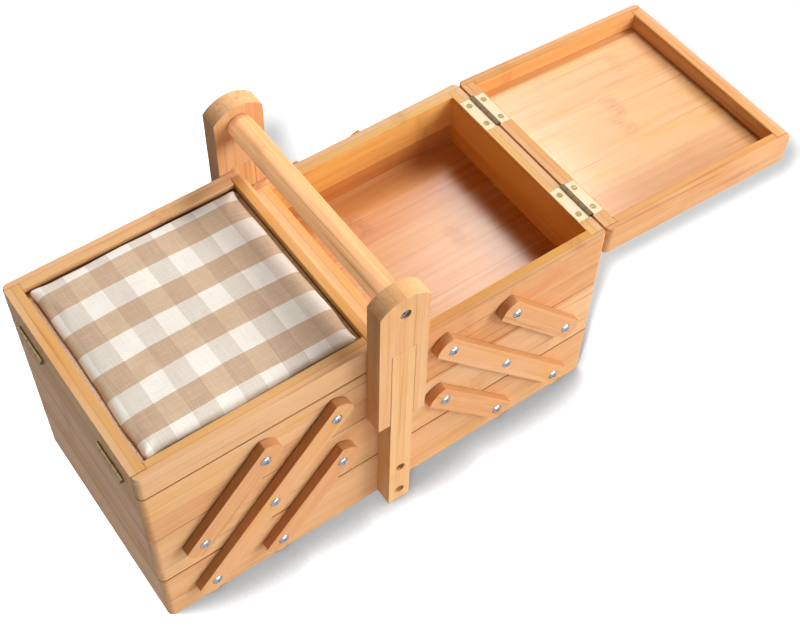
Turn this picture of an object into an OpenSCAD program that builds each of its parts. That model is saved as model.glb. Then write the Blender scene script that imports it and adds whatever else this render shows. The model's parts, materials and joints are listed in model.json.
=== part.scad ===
// Sewing carrier with two lids. A long base box carries two stacks of two trays.
// Each stack swings outwards on wooden levers and stays level, each top tray has a
// padded lid on brass hinges, and a fixed handle stands over the middle.
// Millimetres. X runs along the length, Y to the back and Z up.
// The origin lies on the floor under the middle of the base box.

/* [Base box] */
// length of the base box
box_l = 416; // [404:2:440]
// depth of the base box from its front face to its back face
box_d = 200; // [184:2:224]
// height of the base box
base_h = 59; // [57:1:70]
// thickness of every wall and lid rail
wall_t = 12; // [10.5:0.5:14]
// radius of the upright corners
corner_r = 5; // [2:0.5:5]
// thickness of the floors
floor_t = 5; // [3:0.5:6]
// height of a tray floor's underside above the lower edge of its walls
floor_up = 5; // [3:0.5:10]
// depth of the grooves that hold the floors and the lid panels
groove_d = 5; // [3:0.5:5]
// play between the edge of a floor or panel and the bottom of its groove
groove_play = 0.5; // [0.2:0.1:1]

/* [Trays] */
// height of a middle tray's walls
mid_h = 64.6; // [60:0.2:72]
// height of a top tray's walls
top_h = 60.6; // [56:0.2:70]
// gap between the left stack and the right stack
stack_gap = 8; // [5:1:12]
// gap between two layers of a closed stack
layer_gap = 0.4; // [0.3:0.1:0.8]
// how far the trays stand back from the base's front and back faces
tray_inset = 0.4; // [0.3:0.1:1]

/* [Lids] */
// height of a lid's rails
lid_h = 27; // [24:0.5:32]
// depth of the open recess under a lid's panel
lid_recess = 15; // [10:0.5:16]
// thickness of a lid's panel
panel_t = 4; // [3:0.5:5]
// radius of the lids' upper edge at their inner ends
lid_round_r = 6; // [2:0.5:6]
// how far the right lid is drawn open, in degrees
lid_open = 184; // [0:1:184]

/* [Lid pads] */
// height of a pad's side
pad_side_h = 4.2; // [3:0.2:4.6]
// how far a pad's rolled edge rises over its side
pad_roll = 2.9; // [2:0.1:4]
// how far a pad's middle is crowned over its edge
pad_crown = 2.4; // [0.5:0.1:4]
// how far a pad's sides draw in between its corners
pad_draw = 1.2; // [0:0.1:2]
// gap between a pad and the rails at its ends
pad_gap_x = 2; // [1:0.1:4]
// gap between a pad and the long rails
pad_gap_y = 0.5; // [0.3:0.1:2]

/* [Levers] */
// thickness of a lever
lever_t = 7.6; // [6:0.2:9]
// width of a lever
lever_w = 20; // [16:0.5:22]
// radius of a lever's ends about its end pivots
lever_end_r = 15.5; // [12:0.5:16]
// gap between a lever and the base's face
lever_gap = 0.4; // [0.3:0.1:1]
// height of the lowest pivots
pivot_low = 31.5; // [26:0.5:36]
// sideways reach of a lever from one pivot to the next
pivot_run = 57; // [52:1:62]
// distance between the pivots of neighbouring levers
pivot_pitch = 61; // [54:1:66]
// distance from the end of the base to the lowest pivot of its long lever
pivot_end = 41; // [37:1:46]

/* [Pivot screws] */
// diameter of a pivot screw's shank
pivot_d = 4.5; // [3.5:0.1:5.5]
// play round the shank in a lever, on the radius
pivot_play = 0.08; // [0.04:0.01:0.1]
// diameter of a pivot screw's head
pivot_head_d = 9; // [8:0.5:10]
// height of a pivot screw's domed head
pivot_head_h = 2.2; // [1.8:0.1:2.6]
// how deep a pivot screw bites into a wall
pivot_bite = 9; // [7:0.5:9.5]

/* [Handle] */
// width of an upright post
post_w = 20.5; // [17:0.5:24]
// thickness of an upright post and of its fork
post_t = 16; // [14:0.5:20]
// how far a post's upper end stands above the closed lids
post_rise = 2; // [1:0.5:8]
// width of a fork
fork_w = 43; // [38:1:48]
// length of a fork from the feet of its legs to its crown
fork_l = 153.5; // [120:0.5:165]
// how far a fork's crown stands above the closed lids
fork_rise = 64.6; // [60:0.2:76]
// radius of a fork's crown
fork_crown_r = 28; // [25:1:40]
// play between a post and each leg of its fork
fork_play = 0.25; // [0.1:0.05:0.5]
// diameter of the carrying bar
bar_d = 21; // [18:0.5:24]
// distance from a fork's crown down to the middle of the bar
bar_drop = 19; // [16:0.5:21]

/* [Handle screws] */
// diameter of the recesses for the screw heads
recess_d = 9.3; // [8.5:0.1:11]
// depth of the recesses in the posts
recess_deep = 6; // [4.5:0.5:8]
// depth of the recesses in the forks
fork_recess_deep = 4.2; // [3.6:0.1:6]
// diameter of the recessed screws' heads
recess_head_d = 8; // [7:0.1:8.2]
// height of the recessed screws' heads
recess_head_h = 2.6; // [2:0.1:3]
// diameter of the recessed screws' shanks
recess_shank_d = 4; // [3:0.1:4.5]
// how deep the bar's screws bite into its ends
bar_bite = 26; // [15:1:40]
// height of the lower screw in each post
post_screw_low = 14; // [10:1:18]
// distance between the two screws in each post
post_screw_pitch = 36; // [24:1:36]
// how deep the post screws bite into the base's walls
post_bite = 9; // [6:0.5:9.5]

/* [Hinges] */
// length of a hinge
hinge_l = 37; // [30:1:42]
// distance from the middle of the box to the middle of a hinge
hinge_at = 59.5; // [46:0.5:62]
// thickness of a hinge leaf
leaf_t = 1; // [0.8:0.1:1.4]
// margin between a leaf and the inner face of its wall
leaf_margin = 0.7; // [0.3:0.1:2]
// diameter of a hinge's knuckles
knuckle_d = 4.4; // [4:0.1:5]
// gap between neighbouring knuckles, and round them in the wood
knuckle_gap = 0.35; // [0.3:0.05:0.5]
// diameter of a hinge pin
hinge_pin_d = 2; // [1.6:0.1:2.4]
// play round the pin in the lid's knuckles, on the radius
hinge_pin_play = 0.05; // [0.02:0.01:0.1]
// how far a pin's axis stands outside the end face
hinge_out = 1.1; // [1.1:0.1:1.6]
// distance between a leaf's two screws
hinge_screw_pitch = 23.6; // [16:0.2:24]
// diameter of a hinge screw's head
hinge_head_d = 5.4; // [4.6:0.1:6]
// depth of a hinge screw's countersunk head
hinge_head_h = 1.6; // [1.2:0.1:2]
// diameter of a hinge screw's shank
hinge_shank_d = 2.4; // [2:0.1:3]
// length of a hinge screw's shank
hinge_shank_l = 8; // [5:0.5:8]

/* [Hidden] */
$fn = 96;
// a small step that keeps cutting tools past the faces they cut
eps = 0.5;

// half sizes of the base, and the outer face of the trays
half_l = box_l / 2;
half_d = box_d / 2;
tray_y = half_d - tray_inset;
// how much of a long wall laps over the end walls at a corner
lap = wall_t / 2;

// heights of the layers
mid_z = base_h + layer_gap;
top_z = mid_z + mid_h + layer_gap;
rim_z = top_z + top_h;
lid_z = rim_z + layer_gap;
lid_top = lid_z + lid_h;
// the inner end of both stacks
in_x = stack_gap / 2;

// the levers' pivots, for the right stack
pivot_rise = mid_h + layer_gap;
lever_angle = atan2(pivot_rise, pivot_run);
lever_step = norm([pivot_run, pivot_rise]);
long_x = half_l - pivot_end;
low_x = long_x - pivot_pitch;
up_x = long_x - pivot_run + pivot_pitch;
mid_pivot_z = pivot_low + pivot_rise;
top_pivot_z = mid_pivot_z + pivot_rise;
base_pivots = [[long_x, pivot_low], [low_x, pivot_low]];
mid_pivots = [
    [long_x - pivot_run, mid_pivot_z],
    [low_x - pivot_run, mid_pivot_z],
    [up_x, mid_pivot_z]
];
top_pivots = [
    [long_x - 2 * pivot_run, top_pivot_z],
    [up_x - pivot_run, top_pivot_z]
];
// the levers' inner and outer faces, and the seat of the screw heads
lever_y = half_d + lever_gap;
lever_out_y = lever_y + lever_t;
head_gap = 0.1;
head_y = lever_out_y + head_gap;
bore_d = pivot_d + 2 * pivot_play;
// the cross in a screw head
cross_w = 1;
cross_deep = 1.1;
cross_l = 0.55 * pivot_head_d;

// heights of the handle
crown_z = lid_top + fork_rise;
fork_z = crown_z - fork_l;
post_top = lid_top + post_rise;
bar_z = crown_z - bar_drop;
post_y = half_d + post_t;
post_screws_z = [post_screw_low, post_screw_low + post_screw_pitch];

// the hinges' shared axis, and the span of their leaves
pin_x = half_l + hinge_out;
pin_z = rim_z + layer_gap / 2;
leaf_in_x = half_l - wall_t + leaf_margin;
leaf_out_x = pin_x - knuckle_d / 2 - knuckle_gap;
leaf_screw_x = (leaf_in_x + leaf_out_x) / 2;
knuckles = 5;
knuckle_l = (hinge_l + knuckle_gap) / knuckles - knuckle_gap;
slot_w = 0.7;
slot_deep = 0.5;

// the pad's space inside the lid's rails
pad_z = lid_z + lid_recess + panel_t;
pad_x0 = in_x + wall_t + pad_gap_x;
pad_x1 = half_l - wall_t - pad_gap_x;
pad_y = tray_y - wall_t - pad_gap_y;
// the number of steps along each side of a pad
pad_n = 24;

bamboo = [0.86, 0.66, 0.44];
bamboo_dark = [0.78, 0.56, 0.35];
brass = [0.85, 0.68, 0.32];
steel = [0.75, 0.76, 0.78];
cloth = [0.88, 0.8, 0.71];

// Helpers that place a copy

// the same piece at the back
module at_back() {
    mirror([0, 1, 0]) children();
}

// one piece at the front and one at the back
module both_faces() {
    children();
    at_back() children();
}

// the left stack's pieces, from the right stack's
module at_left() {
    mirror([1, 0, 0]) children();
}

// one piece at each end
module both_ends() {
    children();
    at_left() children();
}

// a lid's piece turned open about the hinges' axis
module opened(angle) {
    translate([pin_x, 0, pin_z]) rotate([0, angle, 0]) translate([-pin_x, 0, -pin_z])
        children();
}

// Box joinery

// what a rounded upright corner loses, for a corner at the origin
module corner_cut(h) {
    difference() {
        translate([-eps, -eps, -eps]) cube([corner_r + eps, corner_r + eps, h + 2 * eps]);
        translate([corner_r, corner_r, -2 * eps]) cylinder(r = corner_r, h = h + 4 * eps);
    }
}

// a long wall with its outer face at y = -face_y, rebated for the end walls and
// grooved for a floor or a panel
module long_wall(x0, x1, face_y, z0, h, groove_z, groove_h) {
    len = x1 - x0;
    translate([x0, -face_y, z0]) difference() {
        cube([len, wall_t, h]);
        translate([-eps, lap, -eps]) cube([wall_t + eps, wall_t, h + 2 * eps]);
        translate([len - wall_t, lap, -eps]) cube([wall_t + eps, wall_t, h + 2 * eps]);
        translate([wall_t - eps, wall_t - groove_d, groove_z])
            cube([len - 2 * wall_t + 2 * eps, groove_d + eps, groove_h]);
        corner_cut(h);
        translate([len, 0, 0]) mirror([1, 0, 0]) corner_cut(h);
    }
}

// an end wall whose outer face looks along +X, grooved on its inner side
module end_wall(face_x, face_y, z0, h, groove_z, groove_h) {
    reach = face_y - lap;
    translate([face_x - wall_t, -reach, z0]) difference() {
        cube([wall_t, 2 * reach, h]);
        translate([-eps, -eps, groove_z]) cube([groove_d + eps, 2 * reach + 2 * eps, groove_h]);
    }
}

// the end wall at a stack's inner end, which looks along -X
module inner_wall(z0, h, groove_z, groove_h) {
    translate([in_x + half_l, 0, 0]) mirror([1, 0, 0])
        end_wall(half_l, tray_y, z0, h, groove_z, groove_h);
}

// a floor or a lid panel, held in the grooves all round
module panel(x0, x1, face_y, z, t) {
    tuck = wall_t - groove_d + groove_play;
    translate([x0 + tuck, -face_y + tuck, z])
        cube([x1 - x0 - 2 * tuck, 2 * face_y - 2 * tuck, t]);
}

// pilot holes for pivot screws in a front wall with its outer face at y = -face_y
module pivot_pilots(points, face_y) {
    for (p = points)
        translate([p[0], -face_y - eps, p[1]]) rotate([-90, 0, 0])
            cylinder(d = pivot_d, h = pivot_bite + eps);
}

// Levers and pivot screws

// a straight lever from its first pivot, lying along +X, with a pivot at each step
module lever(steps) {
    len = steps * lever_step;
    translate([0, -lever_y, 0]) rotate([90, 0, 0]) difference() {
        intersection() {
            translate([-lever_end_r, -lever_w / 2, 0])
                cube([len + 2 * lever_end_r, lever_w, lever_t]);
            union() {
                cylinder(r = lever_end_r, h = lever_t);
                translate([len, 0, 0]) cylinder(r = lever_end_r, h = lever_t);
                translate([0, -lever_w / 2, 0]) cube([len, lever_w, lever_t]);
            }
        }
        for (i = [0:steps])
            translate([i * lever_step, 0, -eps]) cylinder(d = bore_d, h = lever_t + 2 * eps);
    }
}

// a front and a back lever leaning inwards from a pivot of the right stack
module lever_pair(at, steps) {
    both_faces() translate([at[0], 0, at[1]]) rotate([0, lever_angle - 180, 0]) lever(steps);
}

// a domed screw at the front, through a lever and into a wall at y = -face_y
module pivot_screw(at, face_y) {
    dome_r = (pow(pivot_head_d / 2, 2) + pow(pivot_head_h, 2)) / (2 * pivot_head_h);
    translate([at[0], -head_y, at[1]]) rotate([90, 0, 0]) {
        difference() {
            intersection() {
                translate([0, 0, pivot_head_h - dome_r]) sphere(r = dome_r);
                cylinder(d = pivot_head_d + eps, h = pivot_head_h + eps);
            }
            for (a = [0, 90])
                rotate([0, 0, a])
                    translate([-cross_l / 2, -cross_w / 2, pivot_head_h - cross_deep])
                        cube([cross_l, cross_w, cross_deep + eps]);
        }
        translate([0, 0, -(head_y - face_y + pivot_bite)])
            cylinder(d = pivot_d, h = head_y - face_y + pivot_bite + eps);
    }
}

// Base box

module base_long_wall() {
    difference() {
        long_wall(-half_l, half_l, half_d, 0, base_h, -eps, floor_t + eps);
        both_ends() pivot_pilots(base_pivots, half_d);
        for (z = post_screws_z)
            translate([0, -half_d - eps, z]) rotate([-90, 0, 0])
                cylinder(d = recess_shank_d, h = post_bite + eps);
    }
}

module base_front_wall() {
    color(bamboo) base_long_wall();
}

module base_back_wall() {
    color(bamboo) at_back() base_long_wall();
}

module base_end_walls() {
    color(bamboo) both_ends() end_wall(half_l, half_d, 0, base_h, -eps, floor_t + eps);
}

module base_floor() {
    color(bamboo_dark) panel(-half_l, half_l, half_d, 0, floor_t);
}

module base_pivot_screws() {
    color(steel) both_ends() both_faces() for (p = base_pivots) pivot_screw(p, half_d);
}

// Handle

// a hole for a recessed screw through a front piece, looking along -Y
module recessed_hole(x, z, deep) {
    translate([x, -post_y, z]) rotate([-90, 0, 0]) {
        translate([0, 0, -eps]) cylinder(d = recess_d, h = deep + eps);
        cylinder(d = recess_shank_d, h = post_t + eps);
    }
}

// a recessed screw in that hole, biting past the inner face of the piece
module recessed_screw(z, bite, deep) {
    translate([0, -post_y + deep, z]) rotate([-90, 0, 0]) difference() {
        union() {
            translate([0, 0, -recess_head_h]) cylinder(d = recess_head_d, h = recess_head_h);
            translate([0, 0, -eps])
                cylinder(d = recess_shank_d, h = post_t - deep + bite + eps);
        }
        for (a = [0, 90])
            rotate([0, 0, a]) translate([-cross_l / 2, -cross_w / 2, -recess_head_h - eps])
                cube([cross_l, cross_w, cross_deep + eps]);
    }
}

module post() {
    difference() {
        translate([-post_w / 2, -post_y, 0]) cube([post_w, post_t, post_top]);
        for (z = post_screws_z) recessed_hole(0, z, recess_deep);
    }
}

module fork() {
    slot_w = post_w + 2 * fork_play;
    crown_mid = crown_z - fork_crown_r;
    difference() {
        translate([0, -half_d, 0]) rotate([90, 0, 0]) union() {
            translate([-fork_w / 2, fork_z, 0]) cube([fork_w, crown_mid - fork_z, post_t]);
            intersection() {
                translate([-fork_w / 2, crown_mid, 0]) cube([fork_w, fork_crown_r, post_t]);
                translate([0, crown_mid, 0]) cylinder(r = fork_crown_r, h = post_t);
            }
        }
        translate([-slot_w / 2, -post_y - eps, fork_z - eps])
            cube([slot_w, post_t + 2 * eps, post_top - fork_z + eps]);
        recessed_hole(0, bar_z, fork_recess_deep);
    }
}

module front_post() {
    color(bamboo) post();
}

module back_post() {
    color(bamboo) at_back() post();
}

module front_fork() {
    color(bamboo) fork();
}

module back_fork() {
    color(bamboo) at_back() fork();
}

module handle_bar() {
    color(bamboo) difference() {
        translate([0, half_d, bar_z]) rotate([90, 0, 0]) cylinder(d = bar_d, h = box_d);
        both_faces() translate([0, -half_d - eps, bar_z]) rotate([-90, 0, 0])
            cylinder(d = recess_shank_d, h = bar_bite + eps);
    }
}

module handle_screws() {
    color(steel) both_faces() recessed_screw(bar_z, bar_bite, fork_recess_deep);
}

module post_screws() {
    color(steel) both_faces() for (z = post_screws_z)
        recessed_screw(z, post_bite, recess_deep);
}

// Hinges, at the right end

// a hinge screw that points down from the origin, with its head's face at the origin
module hinge_screw_body() {
    translate([0, 0, -hinge_head_h])
        cylinder(d1 = hinge_shank_d, d2 = hinge_head_d, h = hinge_head_h);
    translate([0, 0, -hinge_head_h - hinge_shank_l])
        cylinder(d = hinge_shank_d, h = hinge_shank_l + eps);
}

// the hole that such a screw needs, open at the top
module hinge_screw_room() {
    hinge_screw_body();
    translate([0, 0, -eps / 10]) cylinder(d = hinge_head_d, h = eps);
}

module hinge_screw() {
    difference() {
        hinge_screw_body();
        translate([-hinge_head_d, -slot_w / 2, -slot_deep])
            cube([2 * hinge_head_d, slot_w, slot_deep + eps]);
    }
}

// its children at the four screw places of both hinges
module at_hinge_screws(z) {
    for (y = [-hinge_at, hinge_at], side = [-1, 1])
        translate([leaf_screw_x, y + side * hinge_screw_pitch / 2, z]) children();
}

// the room that both hinges take in the wood, for leaves that lie from z to z + h
module hinge_pocket(z, h) {
    for (y = [-hinge_at, hinge_at]) {
        translate([leaf_in_x, y - hinge_l / 2, z])
            cube([half_l - leaf_in_x + eps, hinge_l, h]);
        translate([pin_x, y - hinge_l / 2 - knuckle_gap, pin_z]) rotate([-90, 0, 0])
            cylinder(d = knuckle_d + 2 * knuckle_gap, h = hinge_l + 2 * knuckle_gap);
    }
}

// one leaf from z to z + leaf_t, with its share of the knuckles and their bore
module leaf(y, z, first, bore) {
    difference() {
        union() {
            translate([leaf_in_x, y - hinge_l / 2, z])
                cube([leaf_out_x - leaf_in_x, hinge_l, leaf_t]);
            for (i = [first:2:knuckles - 1])
                translate([0, y - hinge_l / 2 + i * (knuckle_l + knuckle_gap), 0]) {
                    translate([leaf_out_x - eps, 0, z])
                        cube([pin_x - leaf_out_x + eps, knuckle_l, leaf_t]);
                    translate([pin_x, 0, pin_z]) rotate([-90, 0, 0])
                        cylinder(d = knuckle_d, h = knuckle_l);
                }
        }
        translate([pin_x, y - hinge_l / 2 - eps, pin_z]) rotate([-90, 0, 0])
            cylinder(d = bore, h = hinge_l + 2 * eps);
    }
}

module hinge_pins() {
    for (y = [-hinge_at, hinge_at])
        translate([pin_x, y - hinge_l / 2, pin_z]) rotate([-90, 0, 0])
            cylinder(d = hinge_pin_d, h = hinge_l);
}

module tray_leaves() {
    for (y = [-hinge_at, hinge_at])
        difference() {
            leaf(y, rim_z - leaf_t, 0, hinge_pin_d);
            at_hinge_screws(rim_z) hinge_screw_room();
        }
}

module lid_leaves() {
    for (y = [-hinge_at, hinge_at])
        difference() {
            leaf(y, lid_z, 1, hinge_pin_d + 2 * hinge_pin_play);
            at_hinge_screws(lid_z) mirror([0, 0, 1]) hinge_screw_room();
        }
}

// Trays and lids of the right stack

module mid_long_wall() {
    difference() {
        long_wall(in_x, half_l, tray_y, mid_z, mid_h, floor_up, floor_t);
        pivot_pilots(mid_pivots, tray_y);
    }
}

module mid_end_walls() {
    end_wall(half_l, tray_y, mid_z, mid_h, floor_up, floor_t);
    inner_wall(mid_z, mid_h, floor_up, floor_t);
}

module top_long_wall() {
    difference() {
        long_wall(in_x, half_l, tray_y, top_z, top_h, floor_up, floor_t);
        pivot_pilots(top_pivots, tray_y);
    }
}

module top_end_walls() {
    difference() {
        end_wall(half_l, tray_y, top_z, top_h, floor_up, floor_t);
        hinge_pocket(rim_z - leaf_t, leaf_t + eps);
        at_hinge_screws(rim_z) hinge_screw_room();
    }
    inner_wall(top_z, top_h, floor_up, floor_t);
}

// what the rounded upper edge at a lid's inner end loses
module lid_nose_cut() {
    difference() {
        translate([in_x - eps, -tray_y - eps, lid_top - lid_round_r])
            cube([lid_round_r + eps, 2 * tray_y + 2 * eps, lid_round_r + eps]);
        translate([in_x + lid_round_r, tray_y + 2 * eps, lid_top - lid_round_r])
            rotate([90, 0, 0]) cylinder(r = lid_round_r, h = 2 * tray_y + 4 * eps);
    }
}

module lid_long_rail() {
    difference() {
        long_wall(in_x, half_l, tray_y, lid_z, lid_h, lid_recess, panel_t);
        lid_nose_cut();
    }
}

module lid_inner_rail() {
    difference() {
        inner_wall(lid_z, lid_h, lid_recess, panel_t);
        lid_nose_cut();
    }
}

module lid_outer_rail() {
    difference() {
        end_wall(half_l, tray_y, lid_z, lid_h, lid_recess, panel_t);
        hinge_pocket(lid_z - eps, leaf_t + eps);
        at_hinge_screws(lid_z) mirror([0, 0, 1]) hinge_screw_room();
    }
}

// Pads

// places on a pad run from -1 to 1 and lie closer together near its edges
function pad_u(i) = sin(90 * (2 * i / pad_n - 1));
// how full the pad is at one place across it
function pad_full(u) = sqrt(1 - pow(abs(u), 10));
function pad_top(u, v) =
    pad_side_h + pad_roll * pad_full(u) * pad_full(v) + pad_crown * (1 - u * u) * (1 - v * v);
// one point of the pad in plan, drawn in between the corners
function pad_plan(u, v, hx, hy) = [
    u * (hx - pad_draw * (1 - v * v)),
    v * (hy - pad_draw * (1 - u * u))
];
// the points round the edge of the grid, in order
function pad_ring(k) =
    k < pad_n ? [k, 0] :
    k < 2 * pad_n ? [pad_n, k - pad_n] :
    k < 3 * pad_n ? [3 * pad_n - k, pad_n] :
    [0, 4 * pad_n - k];

// a crowned pad with drawn-in sides, on the lid's panel
module pad() {
    hx = (pad_x1 - pad_x0) / 2;
    row = pad_n + 1;
    rim = 4 * pad_n;
    top = [
        for (j = [0:pad_n], i = [0:pad_n])
            concat(pad_plan(pad_u(i), pad_u(j), hx, pad_y), [pad_top(pad_u(i), pad_u(j))])
    ];
    foot = [
        for (k = [0:rim - 1])
            let (g = pad_ring(k))
                concat(pad_plan(pad_u(g[0]), pad_u(g[1]), hx, pad_y), [0])
    ];
    low = len(top);
    faces = concat(
        [
            for (j = [0:pad_n - 1], i = [0:pad_n - 1])
                [j * row + i, (j + 1) * row + i, (j + 1) * row + i + 1]
        ],
        [
            for (j = [0:pad_n - 1], i = [0:pad_n - 1])
                [j * row + i, (j + 1) * row + i + 1, j * row + i + 1]
        ],
        [
            for (k = [0:rim - 1])
                let (g = pad_ring(k), n = pad_ring((k + 1) % rim))
                    [g[1] * row + g[0], n[1] * row + n[0], low + (k + 1) % rim]
        ],
        [
            for (k = [0:rim - 1])
                let (g = pad_ring(k))
                    [g[1] * row + g[0], low + (k + 1) % rim, low + k]
        ],
        [for (k = [0:rim - 1]) [low + k, low + (k + 1) % rim, low + rim]]
    );
    translate([(pad_x0 + pad_x1) / 2, 0, pad_z])
        polyhedron(points = concat(top, foot, [[0, 0, 0]]), faces = faces);
}

// Left stack

module left_long_levers() {
    color(bamboo) at_left() lever_pair(base_pivots[0], 2);
}

module left_lower_levers() {
    color(bamboo) at_left() lever_pair(base_pivots[1], 1);
}

module left_upper_levers() {
    color(bamboo) at_left() lever_pair(mid_pivots[2], 1);
}

module left_mid_front_wall() {
    color(bamboo) at_left() mid_long_wall();
}

module left_mid_back_wall() {
    color(bamboo) at_left() at_back() mid_long_wall();
}

module left_mid_end_walls() {
    color(bamboo) at_left() mid_end_walls();
}

module left_mid_floor() {
    color(bamboo_dark) at_left() panel(in_x, half_l, tray_y, mid_z + floor_up, floor_t);
}

module left_mid_pivot_screws() {
    color(steel) at_left() both_faces() for (p = mid_pivots) pivot_screw(p, tray_y);
}

module left_top_front_wall() {
    color(bamboo) at_left() top_long_wall();
}

module left_top_back_wall() {
    color(bamboo) at_left() at_back() top_long_wall();
}

module left_top_end_walls() {
    color(bamboo) at_left() top_end_walls();
}

module left_top_floor() {
    color(bamboo_dark) at_left() panel(in_x, half_l, tray_y, top_z + floor_up, floor_t);
}

module left_top_pivot_screws() {
    color(steel) at_left() both_faces() for (p = top_pivots) pivot_screw(p, tray_y);
}

module left_tray_hinge_leaves() {
    color(brass) at_left() tray_leaves();
}

module left_tray_hinge_screws() {
    color(brass) at_left() at_hinge_screws(rim_z) hinge_screw();
}

module left_hinge_pins() {
    color(steel) at_left() hinge_pins();
}

module left_lid_front_rail() {
    color(bamboo) at_left() lid_long_rail();
}

module left_lid_back_rail() {
    color(bamboo) at_left() at_back() lid_long_rail();
}

module left_lid_inner_rail() {
    color(bamboo) at_left() lid_inner_rail();
}

module left_lid_outer_rail() {
    color(bamboo) at_left() lid_outer_rail();
}

module left_lid_panel() {
    color(bamboo_dark) at_left() panel(in_x, half_l, tray_y, lid_z + lid_recess, panel_t);
}

module left_lid_pad() {
    color(cloth) at_left() pad();
}

module left_lid_hinge_leaves() {
    color(brass) at_left() lid_leaves();
}

module left_lid_hinge_screws() {
    color(brass) at_left() at_hinge_screws(lid_z) mirror([0, 0, 1]) hinge_screw();
}

// Right stack

module right_long_levers() {
    color(bamboo) lever_pair(base_pivots[0], 2);
}

module right_lower_levers() {
    color(bamboo) lever_pair(base_pivots[1], 1);
}

module right_upper_levers() {
    color(bamboo) lever_pair(mid_pivots[2], 1);
}

module right_mid_front_wall() {
    color(bamboo) mid_long_wall();
}

module right_mid_back_wall() {
    color(bamboo) at_back() mid_long_wall();
}

module right_mid_end_walls() {
    color(bamboo) mid_end_walls();
}

module right_mid_floor() {
    color(bamboo_dark) panel(in_x, half_l, tray_y, mid_z + floor_up, floor_t);
}

module right_mid_pivot_screws() {
    color(steel) both_faces() for (p = mid_pivots) pivot_screw(p, tray_y);
}

module right_top_front_wall() {
    color(bamboo) top_long_wall();
}

module right_top_back_wall() {
    color(bamboo) at_back() top_long_wall();
}

module right_top_end_walls() {
    color(bamboo) top_end_walls();
}

module right_top_floor() {
    color(bamboo_dark) panel(in_x, half_l, tray_y, top_z + floor_up, floor_t);
}

module right_top_pivot_screws() {
    color(steel) both_faces() for (p = top_pivots) pivot_screw(p, tray_y);
}

module right_tray_hinge_leaves() {
    color(brass) tray_leaves();
}

module right_tray_hinge_screws() {
    color(brass) at_hinge_screws(rim_z) hinge_screw();
}

module right_hinge_pins() {
    color(steel) hinge_pins();
}

module right_lid_front_rail() {
    color(bamboo) opened(lid_open) lid_long_rail();
}

module right_lid_back_rail() {
    color(bamboo) opened(lid_open) at_back() lid_long_rail();
}

module right_lid_inner_rail() {
    color(bamboo) opened(lid_open) lid_inner_rail();
}

module right_lid_outer_rail() {
    color(bamboo) opened(lid_open) lid_outer_rail();
}

module right_lid_panel() {
    color(bamboo_dark) opened(lid_open)
        panel(in_x, half_l, tray_y, lid_z + lid_recess, panel_t);
}

module right_lid_pad() {
    color(cloth) opened(lid_open) pad();
}

module right_lid_hinge_leaves() {
    color(brass) opened(lid_open) lid_leaves();
}

module right_lid_hinge_screws() {
    color(brass) opened(lid_open) at_hinge_screws(lid_z) mirror([0, 0, 1]) hinge_screw();
}

base_front_wall();
base_back_wall();
base_end_walls();
base_floor();
front_post();
back_post();
front_fork();
back_fork();
handle_bar();
handle_screws();
post_screws();
base_pivot_screws();
left_long_levers();
left_lower_levers();
left_upper_levers();
left_mid_front_wall();
left_mid_back_wall();
left_mid_end_walls();
left_mid_floor();
left_mid_pivot_screws();
left_top_front_wall();
left_top_back_wall();
left_top_end_walls();
left_top_floor();
left_top_pivot_screws();
left_tray_hinge_leaves();
left_tray_hinge_screws();
left_hinge_pins();
left_lid_front_rail();
left_lid_back_rail();
left_lid_inner_rail();
left_lid_outer_rail();
left_lid_panel();
left_lid_pad();
left_lid_hinge_leaves();
left_lid_hinge_screws();
right_long_levers();
right_lower_levers();
right_upper_levers();
right_mid_front_wall();
right_mid_back_wall();
right_mid_end_walls();
right_mid_floor();
right_mid_pivot_screws();
right_top_front_wall();
right_top_back_wall();
right_top_end_walls();
right_top_floor();
right_top_pivot_screws();
right_tray_hinge_leaves();
right_tray_hinge_screws();
right_hinge_pins();
right_lid_front_rail();
right_lid_back_rail();
right_lid_inner_rail();
right_lid_outer_rail();
right_lid_panel();
right_lid_pad();
right_lid_hinge_leaves();
right_lid_hinge_screws();
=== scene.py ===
"""Dresses the sewing carrier: bamboo boards, brass hinges, steel screws and gingham pads."""

import json
import logging
import math
from dataclasses import dataclass
from enum import Enum

import bpy
from mathutils import Matrix, Vector, noise

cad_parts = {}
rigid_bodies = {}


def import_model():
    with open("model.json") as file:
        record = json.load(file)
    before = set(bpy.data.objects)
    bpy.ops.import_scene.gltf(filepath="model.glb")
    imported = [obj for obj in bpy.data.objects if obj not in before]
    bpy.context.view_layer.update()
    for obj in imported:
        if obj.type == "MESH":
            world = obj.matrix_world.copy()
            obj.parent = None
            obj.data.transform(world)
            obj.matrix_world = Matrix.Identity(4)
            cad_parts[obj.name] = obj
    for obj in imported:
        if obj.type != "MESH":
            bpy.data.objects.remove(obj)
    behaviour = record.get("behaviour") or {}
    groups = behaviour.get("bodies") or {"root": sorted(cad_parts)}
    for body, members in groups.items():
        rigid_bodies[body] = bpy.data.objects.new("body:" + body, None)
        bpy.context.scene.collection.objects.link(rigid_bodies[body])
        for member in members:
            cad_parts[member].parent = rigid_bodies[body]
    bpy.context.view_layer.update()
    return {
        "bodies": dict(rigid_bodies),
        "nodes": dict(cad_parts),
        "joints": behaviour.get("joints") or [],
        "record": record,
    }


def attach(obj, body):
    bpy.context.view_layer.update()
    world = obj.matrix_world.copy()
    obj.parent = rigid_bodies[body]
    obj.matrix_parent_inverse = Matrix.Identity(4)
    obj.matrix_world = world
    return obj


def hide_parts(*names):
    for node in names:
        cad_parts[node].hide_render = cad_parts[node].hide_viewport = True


LOG = logging.getLogger("sewing_carrier")

Number = float | int
Colour = tuple[float, float, float, float]


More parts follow.
